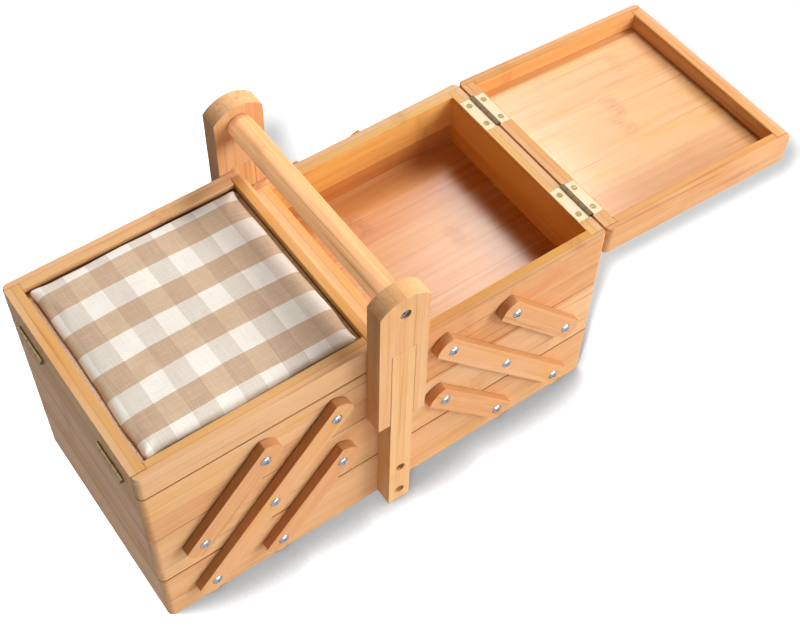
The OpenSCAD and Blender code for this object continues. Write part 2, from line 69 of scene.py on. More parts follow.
def srgb(red: Number, green: Number, blue: Number) -> Colour:
    """Turns an 8-bit display colour into the linear colour a shader takes.

    Args:
        red: The red channel, 0 to 255.
        green: The green channel, 0 to 255.
        blue: The blue channel, 0 to 255.

    Returns:
        The linear colour, with full alpha.
    """
    def linear(channel: Number) -> float:
        """Undoes the display curve for one channel."""
        c = channel / 255
        return c / 12.92 if c <= 0.04045 else ((c + 0.055) / 1.055) ** 2.4

    return (linear(red), linear(green), linear(blue), 1.0)


# Shader building


class Value:
    """A shader value that takes part in plain arithmetic."""

    def __init__(self, graph: "Graph", socket: bpy.types.NodeSocket) -> None:
        """Wraps one output socket of a graph's node."""
        self.graph = graph
        self.socket = socket

    def apply(self, operation: str, *others: "Value | Number") -> "Value":
        """Adds a Math node.

        Args:
            operation: The Math node's operation.
            others: The values after this one, in the node's order.

        Returns:
            The node's result.
        """
        return self.graph.maths(operation, self, *others)

    def __add__(self, other: "Value | Number") -> "Value":
        """self + other."""
        return self.apply("ADD", other)

    def __radd__(self, other: Number) -> "Value":
        """other + self."""
        return self.graph.maths("ADD", other, self)

    def __sub__(self, other: "Value | Number") -> "Value":
        """self - other."""
        return self.apply("SUBTRACT", other)

    def __rsub__(self, other: Number) -> "Value":
        """other - self."""
        return self.graph.maths("SUBTRACT", other, self)

    def __mul__(self, other: "Value | Number") -> "Value":
        """self * other."""
        return self.apply("MULTIPLY", other)

    def __rmul__(self, other: Number) -> "Value":
        """other * self."""
        return self.graph.maths("MULTIPLY", other, self)

    def __truediv__(self, other: "Value | Number") -> "Value":
        """self / other."""
        return self.apply("DIVIDE", other)

    def __neg__(self) -> "Value":
        """-self."""
        return self.apply("MULTIPLY", -1)

    def __abs__(self) -> "Value":
        """The size of the value without its sign."""
        return self.apply("ABSOLUTE")

    def floor(self) -> "Value":
        """The whole number at or below the value."""
        return self.apply("FLOOR")

    def fract(self) -> "Value":
        """What is left over the whole number below."""
        return self.apply("FRACT")

    def least(self, other: "Value | Number") -> "Value":
        """The smaller of the two values."""
        return self.apply("MINIMUM", other)

    def most(self, other: "Value | Number") -> "Value":
        """The larger of the two values."""
        return self.apply("MAXIMUM", other)

    def step(self, low: Number, high: Number) -> "Value":
        """Rises smoothly from 0 at low to 1 at high, or falls when low is above high.

        Args:
            low: The value that gives 0.
            high: The value that gives 1.

        Returns:
            The smooth step, from 0 to 1.
        """
        flip = low > high
        node = self.graph.node(
            "ShaderNodeMapRange",
            {"interpolation_type": "SMOOTHSTEP", "clamp": True},
            {"Value": self, "From Min": min(low, high), "From Max": max(low, high),
             "To Min": 1.0 if flip else 0.0, "To Max": 0.0 if flip else 1.0},
        )
        return Value(self.graph, node.outputs["Result"])


class Graph:
    """One shader's node tree, and short ways to add to it."""

    def __init__(self, owner: bpy.types.Material | bpy.types.World, output: str) -> None:
        """Empties a material's or a world's tree and gives it an output node.

        Args:
            owner: The material or world.
            output: The output node's type.
        """
        owner.use_nodes = True
        self.owner = owner
        self.tree = owner.node_tree
        self.tree.nodes.clear()
        self.output = self.tree.nodes.new(output)

    @classmethod
    def finish(cls, name: str) -> "Graph":
        """Starts a new material."""
        return cls(bpy.data.materials.new(name), "ShaderNodeOutputMaterial")

    def node(self, kind: str, settings: dict | None = None,
             inputs: dict | None = None) -> bpy.types.Node:
        """Adds one node.

        Args:
            kind: The node's type.
            settings: Its properties, set before its sockets.
            inputs: A number, colour, Value or socket for each input, by name or place.

        Returns:
            The new node.
        """
        node = self.tree.nodes.new(kind)
        for key, setting in (settings or {}).items():
            setattr(node, key, setting)
        for key, given in (inputs or {}).items():
            if isinstance(given, Value):
                self.tree.links.new(given.socket, node.inputs[key])
            elif isinstance(given, bpy.types.NodeSocket):
                self.tree.links.new(given, node.inputs[key])
            else:
                node.inputs[key].default_value = given
        return node

    def maths(self, operation: str, *values: Value | Number) -> Value:
        """Adds a Math node.

        Args:
            operation: The node's operation.
            values: Its inputs, in order.

        Returns:
            The node's result.
        """
        node = self.node("ShaderNodeMath", {"operation": operation}, dict(enumerate(values)))
        return Value(self, node.outputs[0])

    def place(self, turn: float = 0.0,
              about: tuple[float, float] = (0.0, 0.0)) -> bpy.types.NodeSocket:
        """Gives the object's own coordinates, turned about an axis that runs along Y.

        Args:
            turn: The turn about +Y, in radians.
            about: The x and z of the axis, in metres.

        Returns:
            The coordinates' socket.
        """
        own = self.node("ShaderNodeTexCoord").outputs["Object"]
        pivot = Vector((about[0], 0.0, about[1]))
        moved = pivot - Matrix.Rotation(turn, 3, "Y") @ pivot
        node = self.node("ShaderNodeMapping", {"vector_type": "POINT"},
                         {"Vector": own, "Location": tuple(moved), "Rotation": (0.0, turn, 0.0)})
        return node.outputs["Vector"]

    def split(self, vector: bpy.types.NodeSocket) -> tuple[Value, Value, Value]:
        """Gives a vector's three parts as values."""
        node = self.node("ShaderNodeSeparateXYZ", inputs={0: vector})
        return tuple(Value(self, out) for out in node.outputs)

    def vector(self, x: Value | Number, y: Value | Number,
               z: Value | Number) -> bpy.types.NodeSocket:
        """Joins three values into a vector."""
        return self.node("ShaderNodeCombineXYZ", inputs={0: x, 1: y, 2: z}).outputs[0]

    def noise(self, vector: bpy.types.NodeSocket, scale: float, detail: float = 2.0,
              rough: float = 0.5, twist: float = 0.0) -> Value:
        """Adds smooth noise.

        Args:
            vector: Where it is read.
            scale: How fine it is.
            detail: How many finer layers it has.
            rough: How strong those are.
            twist: How much it is distorted.

        Returns:
            The noise, about 0 to 1.
        """
        node = self.node("ShaderNodeTexNoise", {"noise_dimensions": "3D"},
                         {"Vector": vector, "Scale": scale, "Detail": detail,
                          "Roughness": rough, "Distortion": twist})
        return Value(self, node.outputs[0])

    def chance(self, vector: bpy.types.NodeSocket) -> Value:
        """Gives a fixed random number from 0 to 1 for each whole-number place."""
        node = self.node("ShaderNodeTexWhiteNoise", {"noise_dimensions": "3D"}, {"Vector": vector})
        return Value(self, node.outputs["Value"])

    def mix(self, share: Value | Number, first: Colour | bpy.types.NodeSocket,
            second: Colour | bpy.types.NodeSocket, blend: str = "MIX") -> bpy.types.NodeSocket:
        """Mixes two colours.

        Args:
            share: How much of the second one shows.
            first: The first colour.
            second: The second colour.
            blend: The blend mode.

        Returns:
            The mixed colour's socket.
        """
        node = self.node("ShaderNodeMix",
                         {"data_type": "RGBA", "blend_type": blend, "clamp_factor": True},
                         {0: share, 6: first, 7: second})
        return node.outputs[2]

    def bump(self, height: Value, strength: float, distance: float) -> bpy.types.NodeSocket:
        """Turns a height into a normal.

        Args:
            height: The height, about 0 to 1.
            strength: How much of the effect shows.
            distance: The height's full rise, in metres.

        Returns:
            The normal's socket.
        """
        return self.node("ShaderNodeBump", None,
                         {"Strength": strength, "Distance": distance, "Height": height}).outputs[0]

    def surface(self, inputs: dict) -> bpy.types.Material:
        """Ends the graph in a Principled shader.

        Args:
            inputs: What its sockets are given.

        Returns:
            The finished material.
        """
        self.close(self.node("ShaderNodeBsdfPrincipled", None, inputs))
        return self.owner

    def close(self, shader: bpy.types.Node) -> None:
        """Links the last shader to the output."""
        self.tree.links.new(shader.outputs[0], self.output.inputs["Surface"])

    def ray(self, kind: str) -> Value:
        """Gives 1 for one kind of ray, such as Camera, and 0 for the others."""
        return Value(self, self.node("ShaderNodeLightPath").outputs[f"Is {kind} Ray"])

    def shown(self) -> Value:
        """Gives 1 where the camera, a gloss or a clear piece looks, and 0 for soft light."""
        return self.ray("Camera").most(self.ray("Glossy")).most(self.ray("Transmission"))


# The carrier's shared sizes


@dataclass(frozen=True)
class Sizes:
    """The main sizes that finishes line up with, in metres and radians."""

    half_length: float = 0.208
    half_depth: float = 0.100
    tray_face: float = 0.0996
    inner_end: float = 0.004
    wall: float = 0.012
    lever_outer: float = 0.108
    lever_slope: float = math.atan2(65, 57)  # a closed lever's rise over its run
    pin: tuple[float, float] = (0.2091, 0.1852)
    joints: tuple[float, ...] = (0.0592, 0.1242, 0.1852)
    lid_open: float = math.radians(184)
    panel_top: float = 0.2044
    red_below: float = 0.152


SIZES = Sizes()


class Side(Enum):
    """The two stacks, by the sign of their x."""

    LEFT = -1
    RIGHT = 1

    @property
    def word(self) -> str:
        """The side's name as the nodes have it."""
        return self.name.lower()


class Tier(Enum):
    """A stack's two trays, by the number of the joint line under each."""

    MID = 0
    TOP = 1

    @property
    def word(self) -> str:
        """The tray's name as the nodes have it."""
        return self.name.lower()


class Grain(Enum):
    """Which way a board's fibres run, and which way its strips are laid."""

    LONG_WALL = "along X, strips stacked up"
    END_WALL = "along Y, strips stacked up"
    FLOOR = "along X, strips side by side"
    UPRIGHT = "along Z, strips side by side"
    ROD = "along Y, strips side by side"
    LEVER = "along the lever"


# Finishes


@dataclass(frozen=True)
class Tones:
    """The tones that every bamboo finish shares."""

    pale: Colour = srgb(252, 224, 186)
    streak: Colour = srgb(160, 96, 48)
    seam: Colour = srgb(150, 92, 48)
    glue: Colour = srgb(140, 84, 44)
    node_mark: Colour = srgb(176, 106, 58)
    inner_red: Colour = srgb(192, 118, 68)
    # recess is the painted shade colour for the gap round the pad
    recess: Colour = srgb(70, 36, 18)
    # joint is the painted shade colour for the gaps between stacked boxes
    joint: Colour = srgb(96, 52, 26)


TONES = Tones()


@dataclass(frozen=True)
class Lines:
    """How far from its middle a thin line ends and where it is full, in metres."""

    seam: tuple[float, float] = (0.0004, 0.0001)
    glue: tuple[float, float] = (0.00035, 0.0001)
    joint: tuple[float, float] = (0.0007, 0.0002)
    outer_skin: tuple[float, float] = (0.0014, 0.0008)
    node_along: tuple[float, float] = (0.012, 0.001)
    recess_band: tuple[float, float] = (0.0042, 0.0020)
    blur: float = 0.0002


LINES = Lines()


@dataclass(frozen=True)
class Layer:
    """Noise that is drawn out along the fibres and differs from strip to strip."""

    along: float
    across: float
    scale: float
    detail: float
    rough: float
    twist: float = 0.0
    spread: float = 0.0

    def read(self, g: Graph, u: Value, v: Value, w: Value, chance: Value) -> Value:
        """Reads the layer.

        Args:
            g: The finish's graph.
            u: The place along the fibres.
            v: The place across the strips.
            w: The place through the board.
            chance: The strip's own random number.

        Returns:
            The noise, about 0 to 1.
        """
        along = u * self.along
        if self.spread:
            along = along + chance * self.spread
        place = g.vector(along, v * self.across, w * self.across)
        return g.noise(place, self.scale, self.detail, self.rough, self.twist)


FIBRES = Layer(11, 520, 1.5, 3.0, 0.6)
THIN_STREAKS = Layer(5, 300, 1.0, 2.0, 0.5, 0.4, 40)
BROAD_STREAKS = Layer(4, 110, 1.2, 3.0, 0.6, 0.5, 30)
CLOUDS = Layer(13, 34, 1.0, 3.0, 0.6, 0.6, 17)


@dataclass(frozen=True)
class Bamboo:
    """Lacquered laminated bamboo: strips of slightly different tone, fibres and node marks.

    Lengths are in metres. The strips are strip wide from strip_start. The knots are node marks
    at an along and an across, with a strength. recess and lower are heights, and painted shade
    darkens a band just above recess. joints are the heights of the painted shade lines in the
    gaps between boxes, and reach is how far the outer long faces stand from the middle. turn
    and about bring a swung piece's pattern back to where it was made.
    """

    name: str
    grain: Grain
    outer: Colour = srgb(230, 179, 130)
    inner: Colour = srgb(230, 175, 98)
    rosy: Colour = srgb(218, 146, 96)
    honey: Colour = srgb(232, 172, 92)
    strip: float = 0.032
    strip_start: float = 0.024
    seed: float = 0.0
    tone: float = 1.0
    streaks: float = 0.65
    marks: float = 0.5
    recess: float = 0.0
    lower: float = 0.0
    knots: tuple[tuple[float, float, float], ...] = ()
    joints: tuple[float, ...] = ()
    two_ply: bool = False
    reach: float = 0.0
    turn: float = 0.0
    about: tuple[float, float] = (0.0, 0.0)
    edge: Colour | None = None
    roughness: float = 0.40
    gloss: float = 0.02
    glue: float = SIZES.wall * 0.45
    node_spacing: float = 0.23
    node_wander: float = 0.012

    def depth(self, x: Value, y: Value) -> Value:
        """Measures how deep a point lies under the box's outer faces.

        Args:
            x: The point's place along the box.
            y: The point's place across the box.

        Returns:
            The depth below the nearest outer face, in metres.
        """
        if self.grain is Grain.LONG_WALL:
            return self.reach - abs(y)
        ends = SIZES.half_length - abs(x)
        return ends.least(abs(x) - SIZES.inner_end) if self.reach else ends

    def marked(self, g: Graph, u: Value, v: Value, w: Value, chance: Value) -> Value:
        """Finds the flecked patches where a cane had its nodes.

        Args:
            g: The finish's graph.
            u: The place along the fibres.
            v: The place across the strips.
            w: The place through the board.
            chance: The strip's own random number.

        Returns:
            How dark the marks are, from 0 to 1.
        """
        wave = (g.noise(g.vector(u * 0, v * 60, w * 60), 1.0) - 0.5) * self.node_wander
        if self.knots:
            near = None
            for along, across, strength in self.knots:
                spot = abs(u - along + wave).step(*LINES.node_along)
                spot = spot * abs(v - across).step(self.strip * 0.60, self.strip * 0.30) * strength
                near = spot if near is None else near.most(spot)
        else:
            place = (u + wave) / self.node_spacing + chance * 7
            chosen = (chance * 5).fract().step(0.45, 0.55)
            near = abs(place.fract() - 0.5).step(0.045, 0.012) * chosen
        flecks = g.noise(g.vector(u * 200, v * 200, w * 200), 1.0, 3.0, 0.6)
        return near * (flecks.step(0.30, 0.80) * 0.6 + 0.1) * self.marks

    def build(self) -> bpy.types.Material:
        """Builds the finish.

        Returns:
            The finished material.
        """
        g = Graph.finish(self.name)
        x, y, z = g.split(g.place(self.turn, self.about))
        u, v, w = {
            Grain.LONG_WALL: (x, z, y),
            Grain.END_WALL: (y, z, x),
            Grain.FLOOR: (x, y, z),
            Grain.UPRIGHT: (z, x, y),
            Grain.ROD: (y, x, z),
            Grain.LEVER: (x, z, y),
        }[self.grain]
        row = (v - self.strip_start) / self.strip
        index = row.floor() + self.seed
        face = g.maths("SIGN", w)
        chance = g.chance(g.vector(index, face, self.seed * 3.7))
        second = g.chance(g.vector(index, face, self.seed * 1.3 + 9.1))

        fibre, line, streak, cloud = (
            layer.read(g, u, v, w, chance)
            for layer in (FIBRES, THIN_STREAKS, BROAD_STREAKS, CLOUDS))
        marked = self.marked(g, u, v, w, second)

        colour = self.outer
        if self.two_ply:
            deep = self.depth(x, y)
            inner_ply = deep.step(self.glue - LINES.blur, self.glue + LINES.blur)
            colour = g.mix(inner_ply, self.outer, self.inner)
        darker = g.mix(1.0, colour, colour, "MULTIPLY")
        lighter = g.mix(0.55, colour, TONES.pale)
        hue = chance * 0.55 + (cloud - 0.5) * 1.7
        shade = g.mix((hue - 0.30) * 1.1 * self.tone, colour, self.rosy)
        shade = g.mix((0.18 - hue) * 1.3 * self.tone, shade, self.honey)
        level = ((second - 0.5) * 0.44 * self.tone + (fibre - 0.5) * 0.34
                 + (streak - 0.5) * self.streaks + (cloud - 0.5) * 0.25)
        shade = g.mix(level * -1.5, shade, darker)
        shade = g.mix(level * 1.5, shade, lighter)
        shade = g.mix(line.step(0.60, 0.74) * 0.64 * self.streaks, shade, TONES.streak)
        seam = abs(row.fract() - 0.5).step(*(0.5 - width / self.strip for width in LINES.seam))
        shade = g.mix(seam * 0.2, shade, TONES.seam)
        if self.two_ply:
            shade = g.mix(abs(deep - self.glue).step(*LINES.glue) * 0.35, shade, TONES.glue)
        shade = g.mix(marked, shade, TONES.node_mark)
        shade = self.placed(g, shade, x, y, z)
        rough = self.roughness + (fibre - 0.5) * 0.12 + marked * 0.1 + (cloud - 0.5) * 0.1
        relief = fibre * 0.6 + streak * 0.5 - seam * 0.4 - marked * 0.3
        return g.surface({
            "Base Color": shade, "Roughness": rough, "Normal": g.bump(relief, 0.3, 0.0002),
            "IOR": 1.45, "Specular IOR Level": self.gloss,
        })

    def placed(self, g: Graph, shade: bpy.types.NodeSocket, x: Value, y: Value,
               z: Value) -> bpy.types.NodeSocket:
        """Adds the tones that belong to one place: sides, inner plies, painted shade in the recess
        and painted shade lines at the joints.

        Args:
            g: The finish's graph.
            shade: The colour so far.
            x: The place along the carrier.
            y: The place across it.
            z: The height.

        Returns:
            The colour's socket.
        """
        if self.edge:
            side_face = abs(y).step(SIZES.lever_outer - 0.0003, SIZES.lever_outer - 0.0008)
            shade = g.mix(side_face * 0.9, shade, self.edge)
        if self.lower:
            low = z.step(self.lower + 2 * LINES.blur, self.lower - 2 * LINES.blur)
            inside = self.depth(x, y).step(self.glue, self.glue + LINES.blur)
            shade = g.mix(low * inside * 0.6, shade, TONES.inner_red)
        # painted shade: the rails' inner faces darken in a band just above the panel, standing for
        # the shade in the gap round the pad
        if self.recess:
            gap_shade_mask = z.step(self.recess - 0.0003, self.recess)
            gap_shade_mask = gap_shade_mask * z.step(*(self.recess + up for up in LINES.recess_band))
            inside = self.depth(x, y).step(SIZES.wall - 0.0006, SIZES.wall - 0.0003)
            shade = g.mix(gap_shade_mask * inside * 0.8, shade, TONES.recess)
        # painted shade: a dark line at each joint height along the outer faces, standing for the
        # shade in the gap between stacked boxes
        if self.joints:
            skin = (SIZES.half_length - abs(x)).least((self.reach or SIZES.half_depth) - abs(y))
            outside = skin.step(*LINES.outer_skin)
            for height in self.joints:
                line = abs(z - height).step(*LINES.joint) * outside
                shade = g.mix(line * 0.6, shade, TONES.joint)
        return shade


@dataclass(frozen=True)
class Metal:
    """Bright metal with fine brushing, a little tarnish in patches, and painted shade on hinge
    knuckles.
    """

    name: str
    colour: Colour
    tarnish: Colour
    roughness: float
    patches: float = 0.3
    knuckles: Colour | None = None
    knuckle_radius: tuple[float, float] = (0.0027, 0.0021)

    def build(self) -> bpy.types.Material:
        """Builds the finish.

        Returns:
            The finished material.
        """
        g = Graph.finish(self.name)
        where = g.place()
        x, y, z = g.split(where)
        brush = g.noise(g.vector(x * 3000, y * 160, z * 900), 1.0, 2.0)
        cloud = g.noise(where, 260, 3.0, 0.6)
        worn = cloud.step(0.52, 0.78) * self.patches
        shade = g.mix(worn, self.colour, self.tarnish)
        rough = self.roughness + (brush - 0.5) * 0.12 + worn * 0.2
        # painted shade: the rolled knuckles round the hinge pin are darkened
        if self.knuckles:
            across, up = abs(x) - SIZES.pin[0], z - SIZES.pin[1]
            radius = g.maths("SQRT", across * across + up * up)
            rolled = radius.step(*self.knuckle_radius)
            shade = g.mix(rolled * 0.9, shade, self.knuckles)
            rough = rough + rolled * 0.15
        return g.surface({
            "Base Color": shade, "Metallic": 1.0, "Roughness": rough,
            "Normal": g.bump(brush, 0.15, 0.00004),
        })


@dataclass(frozen=True)
class Gingham:
    """Woven cotton check: broad brown rows along X crossed by pale and greyed columns."""

    name: str
    turn: float = 0.0
    mirrored: bool = False
    row: float = 0.021
    row_start: float = -0.0520
    column: float = 0.0182
    column_start: float = -0.1846
    thread: float = 0.00082
    fray: float = 0.0007
    # gap_top, gap_fade and gap set the painted shade on the cushion's sides
    gap_top: float = 0.2092
    gap_fade: float = 0.0022
    cream: Colour = srgb(250, 243, 231)
    grey: Colour = srgb(229, 218, 204)
    brown: Colour = srgb(216, 187, 155)
    deep: Colour = srgb(203, 172, 143)
    furrow: Colour = srgb(150, 116, 88)
    fluff: Colour = srgb(255, 252, 246)
    gap: Colour = srgb(62, 40, 26)

    def build(self) -> bpy.types.Material:
        """Builds the finish.

        Returns:
            The finished material.
        """
        g = Graph.finish(self.name)
        x, y, z = g.split(g.place(self.turn, SIZES.pin))
        if self.mirrored:
            x = -x
        # the cloth lies a little unevenly, so its rows and columns wander
        wander = g.noise(g.vector(x * 11, y * 11, z * 0), 1.0, 1.0)
        lean = g.noise(g.vector(x * 11, y * 11, z * 0 + 5), 1.0, 1.0)
        ragged = g.noise(g.vector(x * 900, y * 900, z * 900), 1.0, 1.0)
        px = x + (wander - 0.5) * 0.004 + (ragged - 0.5) * self.fray
        py = y + (lean - 0.5) * 0.005 + (ragged - 0.5) * self.fray
        rows = (py - self.row_start + self.row) / (2 * self.row)
        columns = (px - self.column_start) / (2 * self.column)
        pale_row = 1 - abs(rows.fract() - 0.25).step(0.255, 0.245)
        grey_column = abs(columns.fract() - 0.25).step(0.255, 0.245)
        pale = g.mix(grey_column, self.cream, self.grey)
        dark = g.mix(grey_column, self.brown, self.deep)
        cloth = g.mix(pale_row, dark, pale)
        # the threads
        across = g.maths("SINE", px * (math.tau / self.thread))
        down = g.maths("SINE", py * (math.tau / self.thread))
        twill = g.maths("SINE", (px * 0.8 + py) * (math.tau / (self.thread * 2)))
        slub = g.noise(g.vector(x * 60, y * 1000, z * 60), 1.0, 2.0)
        slub_down = g.noise(g.vector(x * 1000, y * 60, z * 60), 1.0, 2.0)
        uneven = (slub - 0.5) * 0.6 + (slub_down - 0.5) * 0.6
        thread = (across * 0.3 + down * 0.3 + twill * 0.4) * 0.5 + 0.5
        cloth = g.mix(thread * -0.24 + 0.12 - uneven * 0.55, cloth, self.furrow)
        cloth = g.mix(uneven * 0.6, cloth, self.fluff)
        # painted shade: the sides darken towards the bottom, standing for the shade in the gap
        # round the cushion
        gap_shade_mask = z.step(self.gap_top, self.gap_top - self.gap_fade)
        cloth = g.mix(gap_shade_mask * 0.85, cloth, self.gap)
        return g.surface({
            "Base Color": cloth, "Roughness": 0.92,
            "Normal": g.bump(thread * 0.7 + uneven * 0.8, 0.5, 0.00025),
            "Sheen Weight": 0.2, "Sheen Roughness": 0.5, "Sheen Tint": srgb(255, 250, 242),
            "Specular IOR Level": 0.2,
        })


# Helpers for meshes

WELD_GAP = 0.00001
FLAT_ANGLE = math.radians(1.0)
EDGE_ANGLE = math.radians(35)


def clear_selection() -> None:
    """Deselects everything, so that an operator acts on its own piece alone."""
    for o in bpy.context.selected_objects:
        o.select_set(False)


def pick(o: bpy.types.Object) -> None:
    """Makes one object the selected and active one.

    Args:
        o: The object.
    """
    clear_selection()
    o.select_set(True)
    bpy.context.view_layer.objects.active = o


def dress(node: bpy.types.Object, material: bpy.types.Material) -> None:
    """Gives a piece its one material.

    Args:
        node: The piece.
        material: Its material.
    """
    if not node.data.materials:
        node.data.materials.append(material)
    for i in range(len(node.data.materials)):
        node.data.materials[i] = material


def soften(node: bpy.types.Object, width: float, segments: int = 2) -> None:
    """Rounds a CAD node's sharp edges a little, with live modifiers.

    Args:
        node: The node.
        width: How wide the rounding is, in metres.
        segments: How many faces it has.
    """
    weld = node.modifiers.new("joined", "WELD")
    weld.merge_threshold = WELD_GAP
    flat = node.modifiers.new("flat", "DECIMATE")
    flat.decimate_type = "DISSOLVE"
    flat.angle_limit = FLAT_ANGLE
    bevel = node.modifiers.new("soft edges", "BEVEL")
    bevel.limit_method = "ANGLE"
    bevel.angle_limit = EDGE_ANGLE
    bevel.width = width
    bevel.segments = segments
    bevel.harden_normals = False
    bevel.use_clamp_overlap = True
    even = node.modifiers.new("even shading", "WEIGHTED_NORMAL")
    even.keep_sharp = True
    even.weight = 100


@dataclass
class Dresser:
    """Gives the CAD nodes their finishes and softened edges."""

    nodes: dict[str, bpy.types.Object]

    def put(self, finish: Bamboo | Metal, width: float, segments: int, *names: str) -> None:
        """Dresses some nodes alike.

        Args:
            finish: Their finish.
            width: How wide their edges are rounded, in metres.
            segments: How many faces the rounding has.
            names: The nodes' names.
        """
        material = finish.build()
        for name in names:
            dress(self.nodes[name], material)
            soften(self.nodes[name], width, segments)
            LOG.info("dressed %s", name)


# Sub-assemblies


@dataclass
class BaseBox:
    """The long box at the bottom."""

    dresser: Dresser
    edge: float = 0.0010

    def dress(self) -> None:
        """Dresses the walls and the floor."""
        joints = SIZES.joints[:1]
        self.dresser.put(
            Bamboo("bamboo_base_long_wall", Grain.LONG_WALL, two_ply=True, joints=joints,
                   reach=SIZES.half_depth, seed=3, marks=0.4),
            self.edge, 3, "base_front_wall", "base_back_wall")
        self.dresser.put(
            Bamboo("bamboo_base_end_wall", Grain.END_WALL, two_ply=True, joints=joints, seed=5),
            self.edge, 3, "base_end_walls")
        self.dresser.put(
            Bamboo("bamboo_base_floor", Grain.FLOOR, strip=0.026, strip_start=0.004, seed=7),
            self.edge, 2, "base_floor")


@dataclass
class Handle:
    """The posts, the forks and the carrying bar."""

    dresser: Dresser
    edge: float = 0.0011

    def dress(self) -> None:
        """Dresses the handle's wooden pieces."""
        self.dresser.put(
            Bamboo("bamboo_post", Grain.UPRIGHT, strip=0.0068, strip_start=0.0034, tone=0.35,
                   outer=srgb(234, 183, 126), marks=0.3, seed=11),
            self.edge, 3, "front_post", "back_post")
        self.dresser.put(
            Bamboo("bamboo_fork", Grain.UPRIGHT, strip=0.0072, strip_start=0.0, tone=0.45,
                   outer=srgb(232, 179, 128), marks=0.3, seed=13),
            self.edge, 3, "front_fork", "back_fork")
        self.dresser.put(
            Bamboo("bamboo_bar", Grain.ROD, strip=0.0075, strip_start=0.0, tone=0.7,
                   outer=srgb(235, 176, 120), streaks=1.2, seed=17, roughness=0.45, gloss=0.3),
            self.edge, 3, "handle_bar")


@dataclass
class Stack:
    """One side's two trays and their levers."""

    dresser: Dresser
    side: Side
    edge: float = 0.0010
    lever_edge: float = 0.0008
    strip: float = 0.0262
    strip_start: float = 0.0038
    floor_knots: tuple[tuple[float, float, float], ...] = (
        (0.076, 0.050, 1.0), (0.136, -0.003, 0.5), (0.050, -0.055, 0.6))

    def dress(self) -> None:
        """Dresses the trays and the levers."""
        for tier in Tier:
            self.tray(tier)
        word = self.side.word
        slope = SIZES.lever_slope * -self.side.value
        for i, name in enumerate(("long_levers", "lower_levers", "upper_levers")):
            self.dresser.put(
                Bamboo(f"bamboo_{word}_{name}", Grain.LEVER, turn=slope, strip=1.0,
                       strip_start=-0.5, outer=srgb(227, 169, 119), tone=0.6,
                       edge=srgb(200, 144, 94), marks=0.5, seed=40 + i),
                self.lever_edge, 2, f"{word}_{name}")

    def tray(self, tier: Tier) -> None:
        """Dresses one tray.

        Args:
            tier: Which of the two.
        """
        name = f"{self.side.word}_{tier.word}"
        seed = 21 + 8 * tier.value + 4 * (self.side.value + 1)
        # an open lid leaves no gap above the top tray, so its upper edge gets no painted shade line
        covered = tier is Tier.MID or self.side is Side.LEFT
        common = {"two_ply": True, "reach": SIZES.tray_face,
                  "joints": SIZES.joints[tier.value:tier.value + (2 if covered else 1)]}
        self.dresser.put(
            Bamboo(f"bamboo_{name}_long_wall", Grain.LONG_WALL, seed=seed,
                   lower=SIZES.red_below if tier is Tier.TOP else 0.0, **common),
            self.edge, 3, f"{name}_front_wall", f"{name}_back_wall")
        self.dresser.put(
            Bamboo(f"bamboo_{name}_end_wall", Grain.END_WALL, seed=seed + 1, **common),
            self.edge, 3, f"{name}_end_walls")
        self.dresser.put(
            Bamboo(f"bamboo_{name}_floor", Grain.FLOOR, strip=self.strip,
                   strip_start=self.strip_start, seed=seed + 2, outer=srgb(220, 154, 92),
                   roughness=0.24, gloss=0.30, marks=1.4, tone=0.7, knots=self.floor_knots),
            self.edge, 2, f"{name}_floor")


@dataclass
class Lid:
    """One lid's rails and panel."""

    dresser: Dresser
    side: Side
    edge: float = 0.0012
    strip: float = 0.0262
    strip_start: float = 0.0038
    panel_knots: tuple[tuple[float, float, float], ...] = (
        (0.098, 0.018, 1.0), (0.106, -0.004, 0.8), (0.060, 0.060, 0.6))

    @property
    def turn(self) -> float:
        """What turns this lid's coordinates back to the closed lid's."""
        return -SIZES.lid_open if self.side is Side.RIGHT else 0.0

    def dress(self) -> None:
        """Dresses the rails and the panel."""
        word = self.side.word
        seed = 60 + self.side.value
        place = {"turn": self.turn, "about": SIZES.pin}
        rails = {"reach": SIZES.tray_face, "two_ply": True, "recess": SIZES.panel_top,
                 "inner": srgb(226, 170, 108),
                 "joints": SIZES.joints[2:] if self.side is Side.LEFT else (), **place}
        self.dresser.put(
            Bamboo(f"bamboo_{word}_lid_long_rail", Grain.LONG_WALL, seed=seed, **rails),
            self.edge, 3, f"{word}_lid_front_rail", f"{word}_lid_back_rail")
        self.dresser.put(
            Bamboo(f"bamboo_{word}_lid_end_rail", Grain.END_WALL, seed=seed + 4, **rails),
            self.edge, 3, f"{word}_lid_inner_rail", f"{word}_lid_outer_rail")
        self.dresser.put(
            Bamboo(f"bamboo_{word}_lid_panel", Grain.FLOOR, strip=self.strip,
                   strip_start=self.strip_start, seed=seed + 8, outer=srgb(230, 174, 118),
                   roughness=0.24, gloss=0.75, marks=0.9, knots=self.panel_knots, **place),
            self.edge, 2, f"{word}_lid_panel")


@dataclass
class Hardware:
    """The screws, the hinge leaves and the hinge pins."""

    dresser: Dresser
    edge: float = 0.00012

    def dress(self) -> None:
        """Dresses every metal piece."""
        sorts = {
            "hinge_leaves": Metal("bright_brass", srgb(252, 236, 200), srgb(232, 206, 150), 0.3,
                                  patches=0.25, knuckles=srgb(104, 78, 36)),
            "hinge_screws": Metal("screw_brass", srgb(190, 168, 110), srgb(96, 76, 40), 0.35),
            "hinge_pins": Metal("pin_steel", srgb(120, 108, 84), srgb(80, 70, 50), 0.3),
            "screws": Metal("bright_steel", srgb(158, 162, 170), srgb(96, 100, 108), 0.22),
        }
        left = list(self.dresser.nodes)
        for word, finish in sorts.items():
            names = [name for name in left if word in name]
            left = [name for name in left if word not in name]
            self.dresser.put(finish, self.edge, 1, *names)


